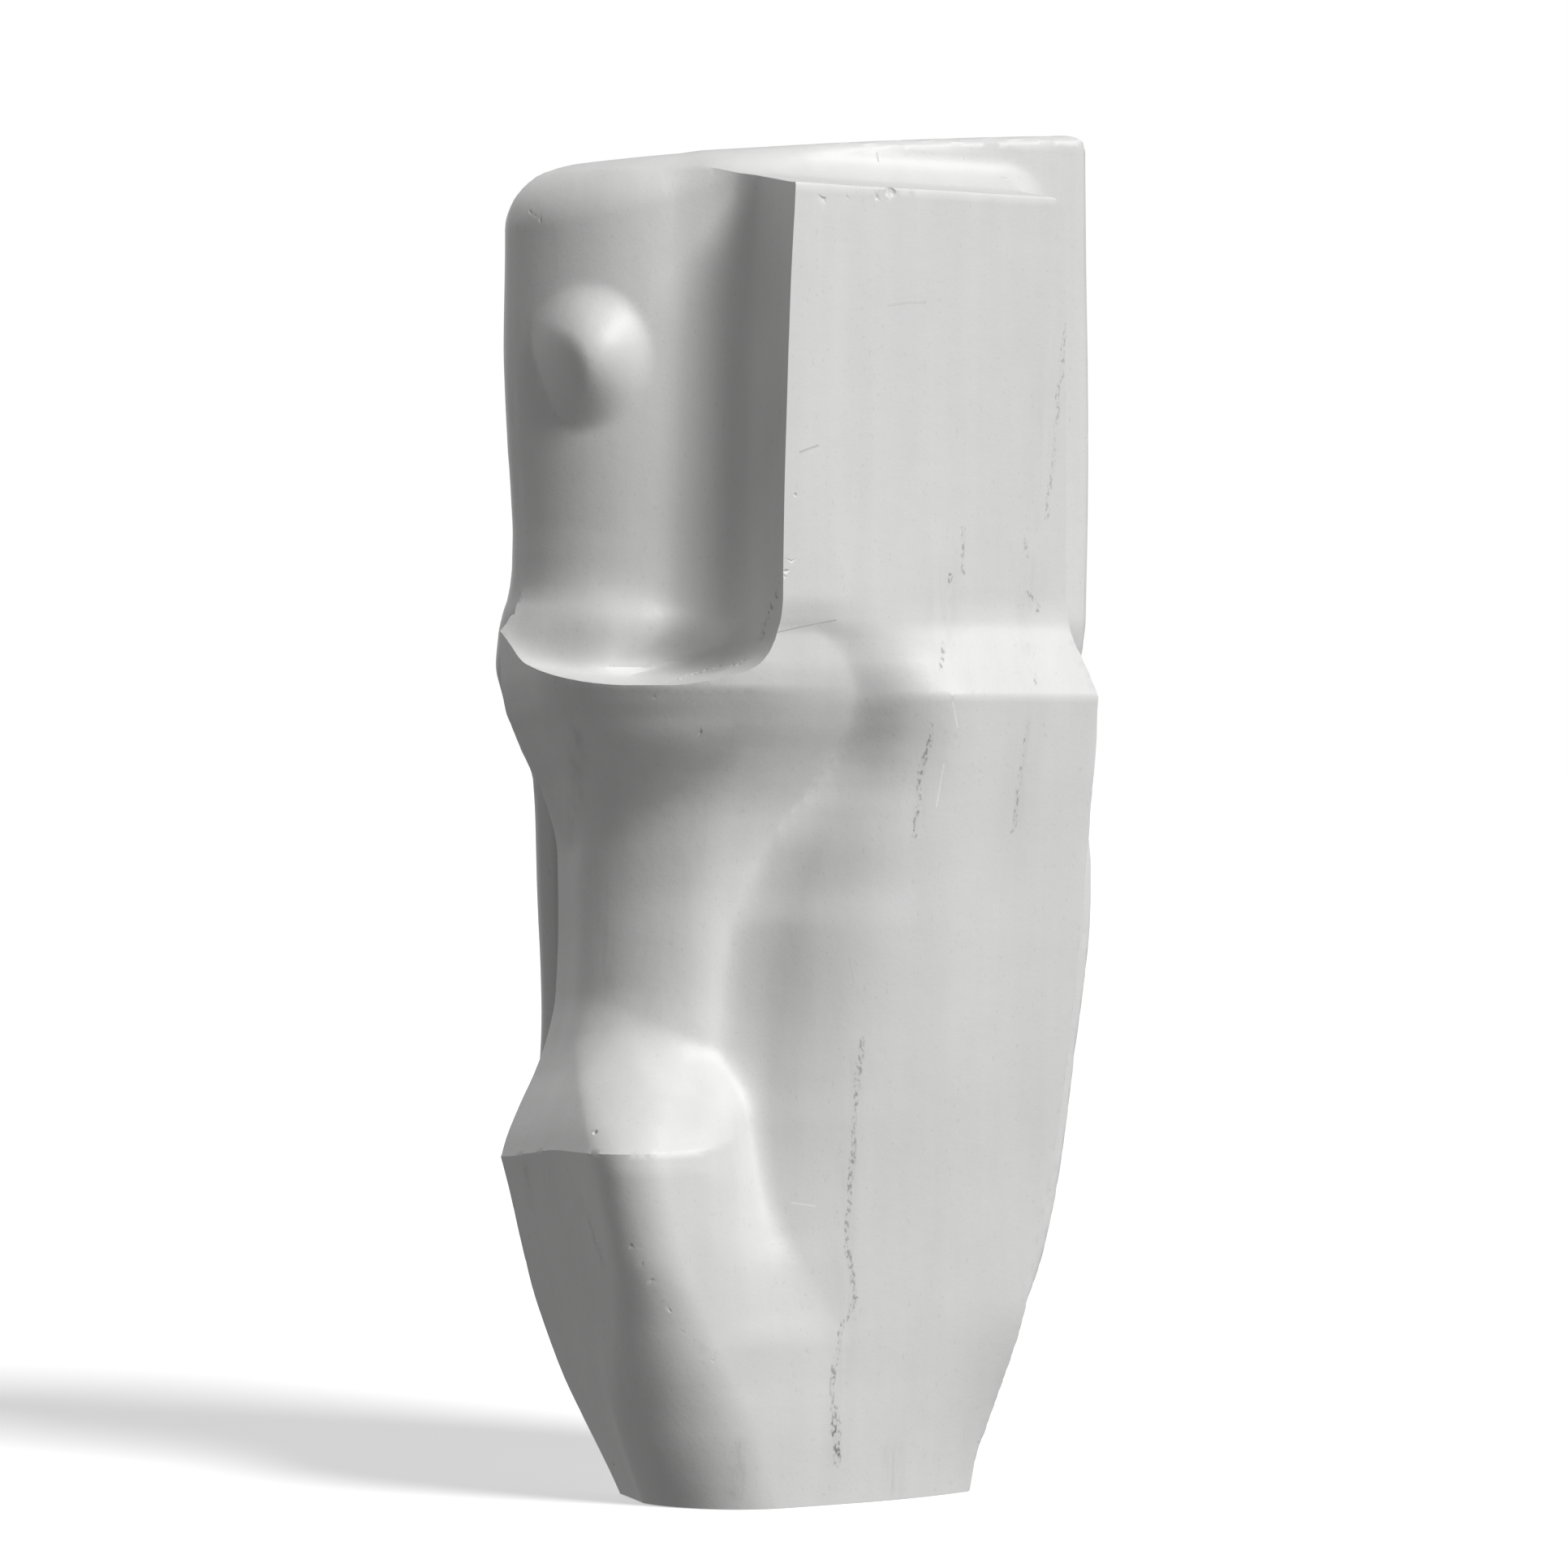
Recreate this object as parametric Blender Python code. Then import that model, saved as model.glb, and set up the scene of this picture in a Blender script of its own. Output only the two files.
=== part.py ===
"""Female torso carved from one tapering block of white marble.

The torso stands on its own flat cut base. X runs to the right along the flat front face of
the upper block, Y runs into the stone, and Z is up. The figure is a free form, so its
lengths are written in parts that HEIGHT scales, each close to a millimetre at the real
size. The form is one field, negative inside the stone, and its surface is laid out on a
grid of cells with one point to each cell.
"""
import math

import bpy
import numpy as np

HEIGHT = 0.700            # metres, underside to the highest corner of the back slab

CELL = 5.6                # size of a grid cell, in parts
TRIANGLES = 7200          # faces left after the flat stretches are thinned out
MARGIN = 2.5              # cells of air around the stone
AIR = 8.0                 # further air, in parts
SADDLE_FILL = 1e-6        # how far inside a filled grid corner counts

# Upper block, with the flat front face at y = 0 and its left arris at x = 0
BLOCK_TOP = 665.0
BLOCK_TOP_SLOPE = 0.18
BLOCK_TOP_CORNER = 11.0
BLOCK_DEEP = 60.0
BLOCK_ARRIS = 1.5
SLAB_TOP_FILLET = 16.0
SIDE_FILLET = 1.5

# Back slab, whose front face recedes and turns round at the left into the chest
SLAB_RIGHT = 211.0
SLAB_FRONT_AT_RIGHT = 38.0
SLAB_FRONT_TURN = 0.105
SLAB_FRONT_AT_RIGHT_LOW = 46.0
SLAB_FRONT_TURN_LOW = 0.33
CHEST_RADIUS = 75.0
LOW_SLAB_RADIUS = 8.0
SLAB_TOP_AT_ARRIS = 684.6
SLAB_TOP_RISE = 0.0885
SLAB_TOP_BULGE = 2.5
SLAB_TOP_MIDDLE = 55.0
SLAB_TOP_REACH = 150.0
SLAB_TOP_EDGE = 6.0
SHOULDER_LEFT = 31.0
SHOULDER_RIGHT = 13.0
SHOULDER_FROM = -75.0
SHOULDER_TO = 70.0
SLAB_EDGE = 7.0
BACK_EDGE = 16.0
BACK_AT_LEFT = 146.0
BACK_TURN = 0.10
BACK_BULGE = 10.0
BACK_BULGE_Z = 300.0
BACK_BULGE_REACH = 170.0
BACK_LEFT_X = -60.0
FIGURE_BACK = 128.0

# Turn of the left side towards the back, at the base
BASE_TURN_IN = 0.27
BASE_TURN_FROM = 60.0
BASE_TURN_TOP = 110.0

# Niche scooped out of the upper left corner
WALL_FILLET = 33.0
WALL_X = [(440, -2.5), (508, -1.4), (553, 0), (610, 2), (666, 5), (700, 6)]
FLOOR_RADIUS = 52.0
FLOOR_RADIUS_LEFT = 30.0
FLOOR_RADIUS_RIGHT = 36.0
FLOOR_Z = 412.8
FLOOR_LEVEL_TO = 35.0
FLOOR_RISE = 0.014
FLOOR_POWER = 1.6

# Small pointed breast in the niche, its ridge and its two slopes
BREAST_X = -101.0
BREAST_Z = 580.0
BREAST_WIDE = 36.0
BREAST_HIGH = 39.0
BREAST_DEEP = 17.0
BREAST_FACET = 0.8
BREAST_FOOT = 27.0
BREAST_LEAN = 0.36
BREAST_SOFT = 7.0
CHEST_ACROSS = (0.857, -0.515)

# Ledges that break the front
RIGHT_LEDGE_Z = 408.0
LEFT_LEDGE_Z = 180.0
LEDGE_LIFT = 6.0
HIP_DROP = 0.5
HIP_SOFT = 20.0
HIP_LEAN_SHARE = 0.5
BELLY_LEAN_REACH = 75.0
BASE_BULGE = 11.0
BASE_MIDDLE = 42.0
BASE_HALF = 75.0
BASE_BULGE_TOP = 100.0
SIDE_SAG = 7.0
SIDE_SAG_FROM = 60.0
SIDE_SAG_TO = 135.0

# Limits between which one form goes over into the next
LEDGE_LIFT_FROM = -50.0
LEDGE_LIFT_TO = -8.0
HIP_DROP_FROM = -60.0
HIP_DROP_TO = 2.0
CHEST_FROM = 405.0
CHEST_TO = 450.0
FLOOR_SHARP_TO = -92.0
FLOOR_WIDE_FROM = -55.0
FLOOR_WIDE_TO = -45.0
FLOOR_NARROW_FROM = -8.0
TOP_FILLET_LEFT = -30.0
TOP_FILLET_LOW = 600.0
TOP_FILLET_HIGH = 640.0


def curve(points, at):
    """A smooth curve through a few (place, value) points that never overshoots them."""
    px = np.array([p[0] for p in points], dtype=float)
    py = np.array([p[1] for p in points], dtype=float)
    step = np.diff(px)
    rise = np.diff(py) / step
    slope = np.zeros_like(py)
    slope[0] = rise[0]
    slope[-1] = rise[-1]
    same = rise[:-1] * rise[1:] > 0.0
    w1 = 2.0 * step[1:] + step[:-1]
    w2 = step[1:] + 2.0 * step[:-1]
    left = np.where(same, rise[:-1], 1.0)
    right = np.where(same, rise[1:], 1.0)
    slope[1:-1] = np.where(same, (w1 + w2) / (w1 / left + w2 / right), 0.0)
    at = np.clip(at, px[0], px[-1])
    i = np.clip(np.searchsorted(px, at, side="right") - 1, 0, len(px) - 2)
    t = (at - px[i]) / step[i]
    t2 = t * t
    t3 = t2 * t
    return ((2 * t3 - 3 * t2 + 1) * py[i] + (t3 - 2 * t2 + t) * step[i] * slope[i]
            + (3 * t2 - 2 * t3) * py[i + 1] + (t3 - t2) * step[i] * slope[i + 1])


def step_up(a, b, at):
    """Zero before a, one after b, smooth between."""
    t = np.clip((at - a) / (b - a), 0.0, 1.0)
    return t * t * (3.0 - 2.0 * t)


def round_max(a, b, radius):
    """The larger of two fields, with the edge between them rounded to a radius."""
    pa = np.maximum(a + radius, 0.0)
    pb = np.maximum(b + radius, 0.0)
    rounded = np.sqrt(pa * pa + pb * pb) - radius
    return np.where((pa > 0.0) & (pb > 0.0), rounded, np.maximum(a, b))


def round_min(a, b, radius):
    """The smaller of two fields, with the inner corner between them filleted."""
    return -round_max(-a, -b, radius)


def soft_min(a, b, width):
    """The smaller of two values, blended over a width."""
    h = np.maximum(width - np.abs(a - b), 0.0) / width
    return np.minimum(a, b) - h * h * width * 0.25


def soft_max(a, b, width):
    """The larger of two values, blended over a width."""
    return -soft_min(-a, -b, width)


# Left side of the figure, above and below the ledge of the left hip
LEFT_ABOVE = [(180, -92.5), (190, -88.8), (206, -81), (223, -71.9), (240, -65), (262, -60),
              (300, -58.5), (333, -59), (366, -68), (380, -75.5), (395, -83), (407, -89),
              (425, -92), (445, -92.5), (480, -92.5)]
LEFT_BELOW = [(0, -47), (16, -53.5), (32, -59.5), (46, -64), (65, -69), (98, -74.5),
              (132, -81.5), (165, -88.8), (180, -92.8)]

# Set-back of the belly behind the block's face, and the fronts of the hip and thigh
BELLY = [(180, 40), (250, 40), (290, 38), (320, 33), (345, 26), (366, 17), (380, 11),
         (395, 5), (410, 1.5), (425, 0), (440, 0)]
BELLY_LEAN = [(170, 0.15), (215, 0.3), (300, 0.36), (350, 0.3), (390, 0.12), (412, 0)]
HIP = [(0, 4), (10, 10), (22, 19), (36, 31), (50, 45), (70, 66), (100, 100)]
THIGH = [(0, 8), (60, 4), (120, 3), (180, 4)]

# Depth and place of the valley between the belly and the right side
VALLEY_DEPTH = [(0, 9), (55, 6), (80, 6), (100, 9), (121, 13), (140, 19), (160, 25), (190, 33),
                (215, 38), (247, 42), (290, 43), (320, 41), (345, 35), (374, 23),
                (395, 11), (409, 4), (425, 0.5), (440, 0)]
VALLEY_X = [(60, 14), (104, 4), (130, -2), (157, -5), (190, -4), (210, -1), (247, 4),
            (290, 8.5), (309, 15), (330, 22), (349, 33), (363, 43), (374, 49), (390, 54),
            (409, 56), (440, 58)]
VALLEY_SOFT = [(60, 18), (140, 20), (200, 22), (260, 24), (340, 22), (400, 16), (440, 14)]
THIGH_SIDE = [(0, 0.3), (100, 0.5), (140, 0.8), (170, 1.0), (205, 1.0), (240, 0.6),
              (290, 0.3), (440, 0.2)]
FLANK_REACH = [(60, 110), (150, 108), (247, 112), (309, 106), (350, 88), (380, 70),
               (409, 62), (440, 66)]
FLANK_POWER = 3.6
FLANK_STRETCH = 1.6

# Forward lean of the right side, above and below its ledge
RIGHT_FACE_ABOVE = [(408, -15), (420, -10.5), (434, -5), (446, -1), (458, 0), (480, 0)]
RIGHT_FACE_BELOW = [(0, 5), (51, 1.5), (82, 0), (151, -2), (206, -5), (273, -8), (326, -10),
                    (374, -13), (408, -15)]
RIGHT_EDGE_ABOVE = [(408, 180), (422, 176.5), (434, 173), (446, 170.6), (458, 170),
                    (480, 170)]
RIGHT_EDGE_BELOW = [(0, 122), (10, 123.5), (20, 126), (34, 130.5), (51, 135),
                    (82, 142.3), (120, 150), (151, 156.5),
                    (206, 165), (273, 172), (326, 176), (374, 179), (408, 180)]

# Edges of the back slab
SLAB_LEFT = [(0, -34), (32, -46), (65, -56), (98, -64), (132, -70), (170, -72), (215, -62),
             (249, -60), (308, -62), (365, -65), (382, -72.5), (395, -78.5), (407, -83),
             (425, -87), (440, -86), (450, -84), (458, -81.5), (466, -80), (476, -79.3),
             (490, -79.3), (510, -80.5), (540, -83), (590, -85.5), (640, -85), (700, -85)]
SLAB_RIGHT_EDGE = [(0, 136), (20, 144), (34, 152), (54, 168), (87, 183), (121, 194),
                   (154, 200.5), (180, 204.5), (222, 209.3), (256, 214), (290, 217),
                   (315, 217.5), (345, 215.5), (380, 211), (420, 210), (540, 212),
                   (640, 210.5), (700, 210)]
CORNER_RADIUS = [(0, 50), (40, 50), (90, 36), (130, 26), (178, 26), (240, 46), (330, 50),
                 (380, 66), (410, 92), (480, 104)]
BACK_TAPER = [(0, 28), (60, 14), (140, 3), (220, 0), (700, 0)]


def front_depth(x, z):
    """Depth of the figure's front below the block: belly, thigh, valley and right flank."""
    above = z - LEFT_LEDGE_Z - LEDGE_LIFT * step_up(LEDGE_LIFT_FROM, LEDGE_LIFT_TO, x)
    dome = curve(HIP, above * (1.0 + HIP_DROP * step_up(HIP_DROP_FROM, HIP_DROP_TO, x)))
    hip = np.where(above > 0.0, dome, curve(THIGH, z))
    from_valley = x - curve(VALLEY_X, z)
    lean = curve(BELLY_LEAN, z) * np.clip(-from_valley, 0.0, BELLY_LEAN_REACH)
    belly = soft_min(curve(BELLY, z) + lean, hip + HIP_LEAN_SHARE * lean, HIP_SOFT)
    depth = curve(VALLEY_DEPTH, z)
    soft = curve(VALLEY_SOFT, z)
    left_part = soft_max(belly, depth + curve(THIGH_SIDE, z) * from_valley, soft)
    upper = curve(RIGHT_FACE_ABOVE, z)
    face = np.where(z > RIGHT_LEDGE_Z, upper, curve(RIGHT_FACE_BELOW, z))
    outward = np.maximum(x - BASE_MIDDLE, 0.0) / BASE_HALF
    face = face + BASE_BULGE * outward ** 2 * (1.0 - step_up(0.0, BASE_BULGE_TOP, z))
    share = np.clip(1.0 - from_valley / curve(FLANK_REACH, z), 0.0, FLANK_STRETCH)
    flank = face + (depth - face) * share ** FLANK_POWER
    return soft_min(left_part, flank, soft)


def breast(x, y, z):
    """How far the small breast stands out of the chest: a dome cut by a facet at the left."""
    across = CHEST_ACROSS[0] * x + CHEST_ACROSS[1] * y - BREAST_X
    up = z - BREAST_Z
    r2 = (across / BREAST_WIDE) ** 2 + (up / BREAST_HIGH) ** 2
    dome = BREAST_DEEP * np.clip(1.0 - r2, 0.0, 1.0) ** 2
    facet = BREAST_FACET * (across + BREAST_FOOT + BREAST_LEAN * up)
    return np.maximum(soft_min(dome, facet, BREAST_SOFT), 0.0)


def slab_field(x, y, z):
    """Back slab, with the chest as its rounded front left corner."""
    high = step_up(CHEST_FROM, CHEST_TO, z)
    front_low = SLAB_FRONT_AT_RIGHT_LOW + (SLAB_RIGHT - x) * SLAB_FRONT_TURN_LOW
    front_high = SLAB_FRONT_AT_RIGHT + (SLAB_RIGHT - x) * SLAB_FRONT_TURN
    front = front_low + (front_high - front_low) * high
    radius = LOW_SLAB_RADIUS + (CHEST_RADIUS - LOW_SLAB_RADIUS) * high
    face = round_max(front - y, curve(SLAB_LEFT, z) - x, radius)
    face = face - breast(x, y, z)
    bulge = BACK_BULGE * np.exp(-((z - BACK_BULGE_Z) / BACK_BULGE_REACH) ** 2)
    back_y = BACK_AT_LEFT - (x - BACK_LEFT_X) * BACK_TURN + bulge - curve(BACK_TAPER, z)
    back = y - back_y
    right = x - curve(SLAB_RIGHT_EDGE, z)
    field = round_max(face, right, SLAB_EDGE)
    field = round_max(field, back, BACK_EDGE)
    middle = (x - SLAB_TOP_MIDDLE) / SLAB_TOP_REACH
    top = z - (SLAB_TOP_AT_ARRIS + SLAB_TOP_RISE * x + SLAB_TOP_BULGE * (1.0 - middle ** 2))
    fade = 1.0 - step_up(SHOULDER_FROM, SHOULDER_TO, x)
    field = round_max(field, top, SLAB_TOP_EDGE + (SHOULDER_LEFT - SLAB_TOP_EDGE) * fade)
    return np.maximum(field, round_max(right, top, SHOULDER_RIGHT))


def niche_field(x, y, z):
    """Air of the niche: right wall, chest behind and scooped floor, open left and above."""
    floor = FLOOR_Z + FLOOR_RISE * np.maximum(y - FLOOR_LEVEL_TO, 0.0) ** FLOOR_POWER - z
    field = round_max(x - curve(WALL_X, z), -slab_field(x, y, z), WALL_FILLET)
    wider = (FLOOR_RADIUS - FLOOR_RADIUS_LEFT) * step_up(FLOOR_SHARP_TO, FLOOR_WIDE_FROM, x)
    narrower = (FLOOR_RADIUS - FLOOR_RADIUS_RIGHT) * step_up(FLOOR_WIDE_TO, FLOOR_NARROW_FROM, x)
    radius = FLOOR_RADIUS_LEFT + wider - narrower
    return round_max(field, floor, radius)


def figure_field(x, y, z):
    """The figure and upper block before the niche is cut."""
    front = front_depth(x, z) - y
    zs = z + SIDE_SAG * step_up(SIDE_SAG_FROM, SIDE_SAG_TO, y)
    left_x = np.where(zs > LEFT_LEDGE_Z, curve(LEFT_ABOVE, zs), curve(LEFT_BELOW, zs))
    turn = BASE_TURN_IN * (1.0 - step_up(0.0, BASE_TURN_TOP, z))
    left_x = left_x + turn * np.maximum(y - BASE_TURN_FROM, 0.0)
    field = round_max(front, left_x - x, curve(CORNER_RADIUS, z))
    above = z > RIGHT_LEDGE_Z
    right_x = np.where(above, curve(RIGHT_EDGE_ABOVE, z), curve(RIGHT_EDGE_BELOW, z))
    field = round_max(field, x - right_x, BLOCK_ARRIS)
    top = z - (BLOCK_TOP + BLOCK_TOP_SLOPE * np.clip(y, 0.0, BLOCK_DEEP))
    corner = round_max(x - right_x, top, BLOCK_TOP_CORNER)
    field = np.maximum(round_max(field, top, BLOCK_ARRIS), corner)
    back = y - (FIGURE_BACK - curve(BACK_TAPER, z))
    return np.maximum(field, back)


def stone(x, y, z):
    """The whole carved block, negative inside."""
    carved = np.maximum(figure_field(x, y, z), -niche_field(x, y, z))
    over_block = step_up(TOP_FILLET_LOW, TOP_FILLET_HIGH, z) * step_up(TOP_FILLET_LEFT, 0.0, x)
    fillet = SIDE_FILLET + (SLAB_TOP_FILLET - SIDE_FILLET) * over_block
    joined = round_min(carved, slab_field(x, y, z), fillet)
    return np.maximum(joined, -z)


def grid_line(low, high, cell):
    """Even places from low to high, shifted so that zero falls inside a cell."""
    start = (math.floor(low / cell - MARGIN) + 0.37) * cell
    count = int(math.ceil((high - start) / cell + MARGIN)) + 1
    return start + cell * np.arange(count)


def crossing(field, p, q, fp, fq):
    """Where the surface cuts each grid edge from p to q, by repeated false position."""
    a = np.zeros(len(p))
    b = np.ones(len(p))
    fa = fp.copy()
    fb = fq.copy()
    for turn in range(6):
        share = fa / (fa - fb)
        if turn % 2:
            share = np.full_like(share, 0.5)
        t = a + (b - a) * share
        ft = field(*(p + (q - p) * t[:, None]).T)
        same = (ft > 0.0) == (fa > 0.0)
        a = np.where(same, t, a)
        fa = np.where(same, ft, fa)
        b = np.where(same, b, t)
        fb = np.where(same, fb, ft)
    t = a + (b - a) * fa / (fa - fb)
    return p + (q - p) * t[:, None]


def normals(field, points, reach=0.05):
    """Unit directions of steepest rise of the field."""
    out = np.empty_like(points)
    for axis in range(3):
        shift = np.zeros(3)
        shift[axis] = reach
        out[:, axis] = field(*(points + shift).T) - field(*(points - shift).T)
    return out / np.maximum(np.linalg.norm(out, axis=1), 1e-12)[:, None]


def fill_saddles(values):
    """Fill the grid corners where the surface would otherwise touch itself along an edge."""
    for axis in range(3):
        b = axis - 2
        c = axis - 1
        corners = []
        for db, dc in ((0, 0), (1, 0), (1, 1), (0, 1)):
            cut = [slice(None)] * 3
            cut[b] = slice(db, values.shape[b] - 1 + db)
            cut[c] = slice(dc, values.shape[c] - 1 + dc)
            corners.append((values[tuple(cut)], db, dc))
        inside = [corner[0] < 0.0 for corner in corners]
        saddle = (inside[0] == inside[2]) & (inside[1] == inside[3]) & (inside[0] != inside[1])
        for at in np.argwhere(saddle):
            outer = [k for k in range(4) if not inside[k][tuple(at)]]
            k = min(outer, key=lambda n: corners[n][0][tuple(at)])
            place = at.copy()
            place[b] += corners[k][1]
            place[c] += corners[k][2]
            values[tuple(place)] = -SADDLE_FILL
    return values


def contour(field, low, high, cell):
    """Closed surface of a field: one point to each cell it crosses, one face to each edge."""
    lines = [grid_line(low[k], high[k], cell) for k in range(3)]
    size = np.array([len(line) for line in lines])
    gx, gy, gz = np.meshgrid(*lines, indexing="ij")
    values = field(gx, gy, gz)
    for turn in range(3):
        values = fill_saddles(values)
    inside = values < 0.0
    cells = size - 1
    ata = np.zeros((cells.prod(), 6))
    atb = np.zeros((cells.prod(), 3))
    mid = np.zeros((cells.prod(), 4))
    quads = []
    for axis in range(3):
        one = np.zeros(3, dtype=int)
        one[axis] = 1
        last = tuple(slice(0, size[k] - one[k]) for k in range(3))
        nxt = tuple(slice(one[k], size[k]) for k in range(3))
        change = inside[last] != inside[nxt]
        at = np.argwhere(change)
        p = np.stack([lines[k][at[:, k]] for k in range(3)], axis=1)
        q = np.stack([lines[k][at[:, k] + one[k]] for k in range(3)], axis=1)
        fp = values[tuple(at.T)]
        fq = values[tuple((at + one).T)]
        hit = crossing(field, p, q, fp, fq)
        n = normals(field, hit)
        b = axis - 2
        c = axis - 1
        ring = []
        for db, dc in ((0, 0), (-1, 0), (-1, -1), (0, -1)):
            cell_at = at.copy()
            cell_at[:, b] += db
            cell_at[:, c] += dc
            index = np.ravel_multi_index(tuple(cell_at.T), tuple(cells))
            ring.append(index)
            offset = (n * hit).sum(axis=1)
            pairs = ((0, 0), (0, 1), (0, 2), (1, 1), (1, 2), (2, 2))
            for slot, (i, j) in enumerate(pairs):
                ata[:, slot] += np.bincount(index, n[:, i] * n[:, j], len(ata))
            for i in range(3):
                atb[:, i] += np.bincount(index, n[:, i] * offset, len(ata))
                mid[:, i] += np.bincount(index, hit[:, i], len(ata))
            mid[:, 3] += np.bincount(index, minlength=len(ata))
        ring = np.stack(ring, axis=1)
        flip = inside[tuple(at.T)]
        ring[~flip] = ring[~flip][:, ::-1]
        quads.append(ring)
    quads = np.concatenate(quads)
    used = np.unique(quads)
    count = mid[used, 3]
    centre = mid[used, :3] / count[:, None]
    full = ata[used][:, [0, 1, 2, 1, 3, 4, 2, 4, 5]].reshape(-1, 3, 3)
    rest = atb[used] - np.einsum("nij,nj->ni", full, centre)
    eased = full + 0.02 * count[:, None, None] * np.eye(3)
    points = centre + np.linalg.solve(eased, rest[:, :, None])[:, :, 0]
    corner = np.stack(np.unravel_index(used, tuple(cells)), axis=1)
    for k in range(3):
        near = lines[k][corner[:, k]]
        points[:, k] = np.clip(points[:, k], near, near + cell)
    lookup = np.full(cells.prod(), -1)
    lookup[used] = np.arange(len(used))
    return points, lookup[quads]


def split_quads(field, points, quads):
    """Two triangles for each quad, along the diagonal that lies nearer the surface."""
    p = points[quads]
    one = np.abs(field(*((p[:, 0] + p[:, 2]) * 0.5).T))
    two = np.abs(field(*((p[:, 1] + p[:, 3]) * 0.5).T))
    first = np.where((one <= two)[:, None], quads[:, [0, 1, 2]], quads[:, [1, 2, 3]])
    second = np.where((one <= two)[:, None], quads[:, [0, 2, 3]], quads[:, [1, 3, 0]])
    return np.concatenate([first, second])


def marble():
    """White statuary marble, greyed a little by handling."""
    material = bpy.data.materials.new("white_marble")
    material.use_nodes = True
    shader = material.node_tree.nodes["Principled BSDF"]
    shader.inputs["Base Color"].default_value = (0.80, 0.80, 0.79, 1.0)
    shader.inputs["Roughness"].default_value = 0.5
    shader.inputs["Metallic"].default_value = 0.0
    material.diffuse_color = (0.80, 0.80, 0.79, 1.0)
    return material


def limits():
    """Lowest and highest corner of the space that holds the stone, in parts."""
    left = min(p[1] for p in LEFT_ABOVE + LEFT_BELOW + SLAB_LEFT)
    front = min(p[1] for p in RIGHT_FACE_ABOVE + RIGHT_FACE_BELOW)
    right = max(p[1] for p in SLAB_RIGHT_EDGE)
    back = max(BACK_AT_LEFT + BACK_BULGE, FIGURE_BACK)
    top = SLAB_TOP_AT_ARRIS + SLAB_TOP_RISE * right + SLAB_TOP_BULGE
    return (left - AIR, front - AIR, 0.0), (right + AIR, back + AIR, top + AIR)


def make_torso():
    """The torso as one named object standing on z = 0, centred over its own plan."""
    low, high = limits()
    points, quads = contour(stone, low, high, CELL)
    faces = split_quads(stone, points, quads)
    points[np.abs(points[:, 2]) < 0.2, 2] = 0.0
    part = HEIGHT / points[:, 2].max()
    middle = (points.min(axis=0) + points.max(axis=0)) * 0.5
    points[:, :2] -= middle[:2]
    mesh = bpy.data.meshes.new("torso")
    mesh.from_pydata((points * part).tolist(), [], faces.tolist())
    torso = bpy.data.objects.new("torso", mesh)
    bpy.context.collection.objects.link(torso)
    mesh.materials.append(marble())
    thin = torso.modifiers.new("thin_flat_stretches", "DECIMATE")
    thin.ratio = min(1.0, TRIANGLES / len(faces))
    thin.use_collapse_triangulate = True
    return torso, len(faces), middle, part


for item in list(bpy.data.objects):
    bpy.data.objects.remove(item, do_unlink=True)
torso, raw_faces, plan_middle, part_size = make_torso()
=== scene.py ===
"""Looks of the marble torso: the carved surface at full detail, its chips and its stone.

The form is the same field as the solid's, in parts of its height, with the upper block's flat
front face at y = 0 and its left arris at x = 0. The surface is laid out finely here, chipped
where the stone is chipped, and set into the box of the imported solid.
"""
import math

import bmesh
import bpy
import numpy as np
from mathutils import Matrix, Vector


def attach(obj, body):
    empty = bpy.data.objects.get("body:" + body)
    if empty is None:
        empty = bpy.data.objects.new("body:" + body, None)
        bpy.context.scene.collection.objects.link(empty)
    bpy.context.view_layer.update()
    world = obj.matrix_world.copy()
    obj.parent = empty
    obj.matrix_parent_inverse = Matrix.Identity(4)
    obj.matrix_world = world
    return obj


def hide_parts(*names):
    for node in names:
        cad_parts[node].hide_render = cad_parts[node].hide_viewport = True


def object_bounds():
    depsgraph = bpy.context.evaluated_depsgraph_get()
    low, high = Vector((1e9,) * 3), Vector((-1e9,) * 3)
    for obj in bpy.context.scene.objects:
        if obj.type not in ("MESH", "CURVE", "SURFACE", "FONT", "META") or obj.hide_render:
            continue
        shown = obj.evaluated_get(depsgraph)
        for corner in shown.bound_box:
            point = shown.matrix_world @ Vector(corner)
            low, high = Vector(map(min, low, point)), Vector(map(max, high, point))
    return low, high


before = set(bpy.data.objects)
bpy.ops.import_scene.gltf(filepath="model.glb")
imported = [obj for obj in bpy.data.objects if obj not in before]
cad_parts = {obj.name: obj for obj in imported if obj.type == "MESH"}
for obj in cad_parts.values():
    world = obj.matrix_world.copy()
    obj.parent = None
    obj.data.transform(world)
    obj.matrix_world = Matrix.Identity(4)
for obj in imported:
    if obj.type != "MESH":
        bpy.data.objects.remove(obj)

CAD_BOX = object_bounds()

FINE_CELL = 3.0           # size of a grid cell, in parts
MARGIN = 2.5              # cells of air around the stone
AIR = 8.0                 # further air, in parts
SADDLE_FILL = 1e-6        # how far inside a filled grid corner counts

# Upper block, with the flat front face at y = 0 and its left arris at x = 0
BLOCK_TOP = 665.0
BLOCK_TOP_SLOPE = 0.18
BLOCK_TOP_CORNER = 11.0
BLOCK_DEEP = 60.0
BLOCK_ARRIS = 1.5
SLAB_TOP_FILLET = 16.0
SIDE_FILLET = 1.5

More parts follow.
